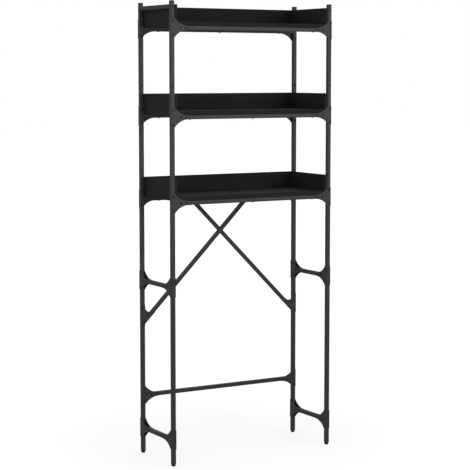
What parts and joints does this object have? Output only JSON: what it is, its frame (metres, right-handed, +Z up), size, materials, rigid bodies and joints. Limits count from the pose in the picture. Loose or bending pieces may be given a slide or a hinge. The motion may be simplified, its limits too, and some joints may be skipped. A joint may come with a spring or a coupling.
{
  "type": "over the toilet storage rack",
  "caption": "Free-standing rack that stands over a toilet: slim square tube frame with a cross brace behind, and open-fronted shelf trays above the bay.",
  "frame": {"origin": "on the floor, midway between the four posts", "axes": "+Z up, +X to the right seen from the open front, +Y towards the wall behind"},
  "size_m": [0.699, 0.2636, 1.71],
  "materials": {
    "powder_coated_steel": "fine-textured dark grey powder coat, satin",
    "black_board": "engineered wood faced in matt black with a faint grain",
    "black_plastic": "moulded, matt",
    "sleeve_plastic": "moulded, matt, hidden inside the posts"
  },
  "bodies": {
    "root": {"back_board_bottom": "black_board", "back_board_middle": "black_board", "back_board_top": "black_board", "brace_long_bar": "powder_coated_steel", "brace_short_bar_lower": "powder_coated_steel", "brace_short_bar_upper": "powder_coated_steel", "foot_front_left": "black_plastic", "foot_front_right": "black_plastic", "foot_rear_left": "black_plastic", "foot_rear_right": "black_plastic", "front_plate_bottom_left": "powder_coated_steel", "front_plate_bottom_right": "powder_coated_steel", "front_plate_middle_left": "powder_coated_steel", "front_plate_middle_right": "powder_coated_steel", "front_plate_top_left": "powder_coated_steel", "front_plate_top_right": "powder_coated_steel", "front_rail_bottom": "powder_coated_steel", "front_rail_middle": "powder_coated_steel", "front_rail_top": "powder_coated_steel", "post_cap_front_left": "black_plastic", "post_cap_front_right": "black_plastic", "post_cap_rear_left": "black_plastic", "post_cap_rear_right": "black_plastic", "post_lower_front_left": "powder_coated_steel", "post_lower_front_right": "powder_coated_steel", "post_lower_rear_left": "powder_coated_steel", "post_lower_rear_right": "powder_coated_steel", "post_sleeve_front_left": "sleeve_plastic", "post_sleeve_front_right": "sleeve_plastic", "post_sleeve_rear_left": "sleeve_plastic", "post_sleeve_rear_right": "sleeve_plastic", "post_upper_front_left": "powder_coated_steel", "post_upper_front_right": "powder_coated_steel", "post_upper_rear_left": "powder_coated_steel", "post_upper_rear_right": "powder_coated_steel", "rear_crossbar": "powder_coated_steel", "rear_plate_bottom_left": "powder_coated_steel", "rear_plate_bottom_right": "powder_coated_steel", "rear_plate_middle_left": "powder_coated_steel", "rear_plate_middle_right": "powder_coated_steel", "rear_plate_top_left": "powder_coated_steel", "rear_plate_top_right": "powder_coated_steel", "rear_rail_bottom": "powder_coated_steel", "rear_rail_middle": "powder_coated_steel", "rear_rail_top": "powder_coated_steel", "shelf_board_bottom": "black_board", "shelf_board_middle": "black_board", "shelf_board_top": "black_board", "side_bar_left_lower": "powder_coated_steel", "side_bar_left_upper": "powder_coated_steel", "side_bar_right_lower": "powder_coated_steel", "side_bar_right_upper": "powder_coated_steel", "side_board_bottom_left": "black_board", "side_board_bottom_right": "black_board", "side_board_middle_left": "black_board", "side_board_middle_right": "black_board", "side_board_top_left": "black_board", "side_board_top_right": "black_board", "top_side_rail_left": "powder_coated_steel", "top_side_rail_right": "powder_coated_steel"}
  },
  "joints": []
}
